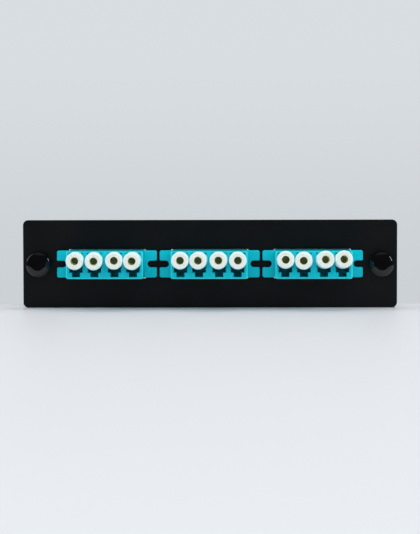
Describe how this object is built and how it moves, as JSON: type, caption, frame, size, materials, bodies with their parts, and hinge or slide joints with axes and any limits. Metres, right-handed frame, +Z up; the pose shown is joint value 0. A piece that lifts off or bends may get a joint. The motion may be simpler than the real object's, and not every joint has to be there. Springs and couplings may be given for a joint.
{
  "type": "fibre adapter panel",
  "caption": "Flat steel panel carrying a row of quad fibre optic adapters with dust caps in their ports, held to an enclosure by a push-pull latch at each end.",
  "frame": {"origin": "middle of the plate's rear face, which is also the middle of the whole object", "axes": "+X along the panel from the left latch to the right latch as seen from the front, -Y out of the front, +Z up"},
  "size_m": [0.129, 0.0358, 0.0304],
  "materials": {
    "powder_coat": "satin powder coat",
    "aqua_plastic": "satin moulded",
    "cap_plastic": "translucent soft plastic",
    "clip_steel": "stainless strip",
    "sleeve_ceramic": "polished",
    "latch_gloss": "glossy",
    "grommet_nylon": "satin moulded"
  },
  "bodies": {
    "panel_frame": {"panel": "powder_coat", "left_front_housing": "aqua_plastic", "left_rear_housing": "aqua_plastic", "left_spring_clip": "clip_steel", "left_sleeve_1": "sleeve_ceramic", "left_sleeve_2": "sleeve_ceramic", "left_sleeve_3": "sleeve_ceramic", "left_sleeve_4": "sleeve_ceramic", "middle_front_housing": "aqua_plastic", "middle_rear_housing": "aqua_plastic", "middle_spring_clip": "clip_steel", "middle_sleeve_1": "sleeve_ceramic", "middle_sleeve_2": "sleeve_ceramic", "middle_sleeve_3": "sleeve_ceramic", "middle_sleeve_4": "sleeve_ceramic", "right_front_housing": "aqua_plastic", "right_rear_housing": "aqua_plastic", "right_spring_clip": "clip_steel", "right_sleeve_1": "sleeve_ceramic", "right_sleeve_2": "sleeve_ceramic", "right_sleeve_3": "sleeve_ceramic", "right_sleeve_4": "sleeve_ceramic", "left_latch_grommet": "grommet_nylon", "right_latch_grommet": "grommet_nylon"},
    "left_front_cap_1": {"left_front_cap_1": "cap_plastic"},
    "left_front_cap_2": {"left_front_cap_2": "cap_plastic"},
    "left_front_cap_3": {"left_front_cap_3": "cap_plastic"},
    "left_front_cap_4": {"left_front_cap_4": "cap_plastic"},
    "left_rear_cap_1": {"left_rear_cap_1": "cap_plastic"},
    "left_rear_cap_2": {"left_rear_cap_2": "cap_plastic"},
    "left_rear_cap_3": {"left_rear_cap_3": "cap_plastic"},
    "left_rear_cap_4": {"left_rear_cap_4": "cap_plastic"},
    "middle_front_cap_1": {"middle_front_cap_1": "cap_plastic"},
    "middle_front_cap_2": {"middle_front_cap_2": "cap_plastic"},
    "middle_front_cap_3": {"middle_front_cap_3": "cap_plastic"},
    "middle_front_cap_4": {"middle_front_cap_4": "cap_plastic"},
    "middle_rear_cap_1": {"middle_rear_cap_1": "cap_plastic"},
    "middle_rear_cap_2": {"middle_rear_cap_2": "cap_plastic"},
    "middle_rear_cap_3": {"middle_rear_cap_3": "cap_plastic"},
    "middle_rear_cap_4": {"middle_rear_cap_4": "cap_plastic"},
    "right_front_cap_1": {"right_front_cap_1": "cap_plastic"},
    "right_front_cap_2": {"right_front_cap_2": "cap_plastic"},
    "right_front_cap_3": {"right_front_cap_3": "cap_plastic"},
    "right_front_cap_4": {"right_front_cap_4": "cap_plastic"},
    "right_rear_cap_1": {"right_rear_cap_1": "cap_plastic"},
    "right_rear_cap_2": {"right_rear_cap_2": "cap_plastic"},
    "right_rear_cap_3": {"right_rear_cap_3": "cap_plastic"},
    "right_rear_cap_4": {"right_rear_cap_4": "cap_plastic"},
    "left_latch_plunger": {"left_latch_plunger": "latch_gloss"},
    "right_latch_plunger": {"right_latch_plunger": "latch_gloss"}
  },
  "joints": [
    {"name": "left_front_cap_1_pull", "type": "slide", "parent": "panel_frame", "child": "left_front_cap_1", "axis": [0, -1, 0], "range_m": [0, 0.012]},
    {"name": "left_front_cap_2_pull", "type": "slide", "parent": "panel_frame", "child": "left_front_cap_2", "axis": [0, -1, 0], "range_m": [0, 0.012]},
    {"name": "left_front_cap_3_pull", "type": "slide", "parent": "panel_frame", "child": "left_front_cap_3", "axis": [0, -1, 0], "range_m": [0, 0.012]},
    {"name": "left_front_cap_4_pull", "type": "slide", "parent": "panel_frame", "child": "left_front_cap_4", "axis": [0, -1, 0], "range_m": [0, 0.012]},
    {"name": "left_rear_cap_1_pull", "type": "slide", "parent": "panel_frame", "child": "left_rear_cap_1", "axis": [0, 1, 0], "range_m": [0, 0.012]},
    {"name": "left_rear_cap_2_pull", "type": "slide", "parent": "panel_frame", "child": "left_rear_cap_2", "axis": [0, 1, 0], "range_m": [0, 0.012]},
    {"name": "left_rear_cap_3_pull", "type": "slide", "parent": "panel_frame", "child": "left_rear_cap_3", "axis": [0, 1, 0], "range_m": [0, 0.012]},
    {"name": "left_rear_cap_4_pull", "type": "slide", "parent": "panel_frame", "child": "left_rear_cap_4", "axis": [0, 1, 0], "range_m": [0, 0.012]},
    {"name": "middle_front_cap_1_pull", "type": "slide", "parent": "panel_frame", "child": "middle_front_cap_1", "axis": [0, -1, 0], "range_m": [0, 0.012]},
    {"name": "middle_front_cap_2_pull", "type": "slide", "parent": "panel_frame", "child": "middle_front_cap_2", "axis": [0, -1, 0], "range_m": [0, 0.012]},
    {"name": "middle_front_cap_3_pull", "type": "slide", "parent": "panel_frame", "child": "middle_front_cap_3", "axis": [0, -1, 0], "range_m": [0, 0.012]},
    {"name": "middle_front_cap_4_pull", "type": "slide", "parent": "panel_frame", "child": "middle_front_cap_4", "axis": [0, -1, 0], "range_m": [0, 0.012]},
    {"name": "middle_rear_cap_1_pull", "type": "slide", "parent": "panel_frame", "child": "middle_rear_cap_1", "axis": [0, 1, 0], "range_m": [0, 0.012]},
    {"name": "middle_rear_cap_2_pull", "type": "slide", "parent": "panel_frame", "child": "middle_rear_cap_2", "axis": [0, 1, 0], "range_m": [0, 0.012]},
    {"name": "middle_rear_cap_3_pull", "type": "slide", "parent": "panel_frame", "child": "middle_rear_cap_3", "axis": [0, 1, 0], "range_m": [0, 0.012]},
    {"name": "middle_rear_cap_4_pull", "type": "slide", "parent": "panel_frame", "child": "middle_rear_cap_4", "axis": [0, 1, 0], "range_m": [0, 0.012]},
    {"name": "right_front_cap_1_pull", "type": "slide", "parent": "panel_frame", "child": "right_front_cap_1", "axis": [0, -1, 0], "range_m": [0, 0.012]},
    {"name": "right_front_cap_2_pull", "type": "slide", "parent": "panel_frame", "child": "right_front_cap_2", "axis": [0, -1, 0], "range_m": [0, 0.012]},
    {"name": "right_front_cap_3_pull", "type": "slide", "parent": "panel_frame", "child": "right_front_cap_3", "axis": [0, -1, 0], "range_m": [0, 0.012]},
    {"name": "right_front_cap_4_pull", "type": "slide", "parent": "panel_frame", "child": "right_front_cap_4", "axis": [0, -1, 0], "range_m": [0, 0.012]},
    {"name": "right_rear_cap_1_pull", "type": "slide", "parent": "panel_frame", "child": "right_rear_cap_1", "axis": [0, 1, 0], "range_m": [0, 0.012]},
    {"name": "right_rear_cap_2_pull", "type": "slide", "parent": "panel_frame", "child": "right_rear_cap_2", "axis": [0, 1, 0], "range_m": [0, 0.012]},
    {"name": "right_rear_cap_3_pull", "type": "slide", "parent": "panel_frame", "child": "right_rear_cap_3", "axis": [0, 1, 0], "range_m": [0, 0.012]},
    {"name": "right_rear_cap_4_pull", "type": "slide", "parent": "panel_frame", "child": "right_rear_cap_4", "axis": [0, 1, 0], "range_m": [0, 0.012]},
    {"name": "left_latch_pull", "type": "slide", "parent": "panel_frame", "child": "left_latch_plunger", "axis": [0, -1, 0], "range_m": [0, 0.0045]},
    {"name": "right_latch_pull", "type": "slide", "parent": "panel_frame", "child": "right_latch_plunger", "axis": [0, -1, 0], "range_m": [0, 0.0045]}
  ]
}
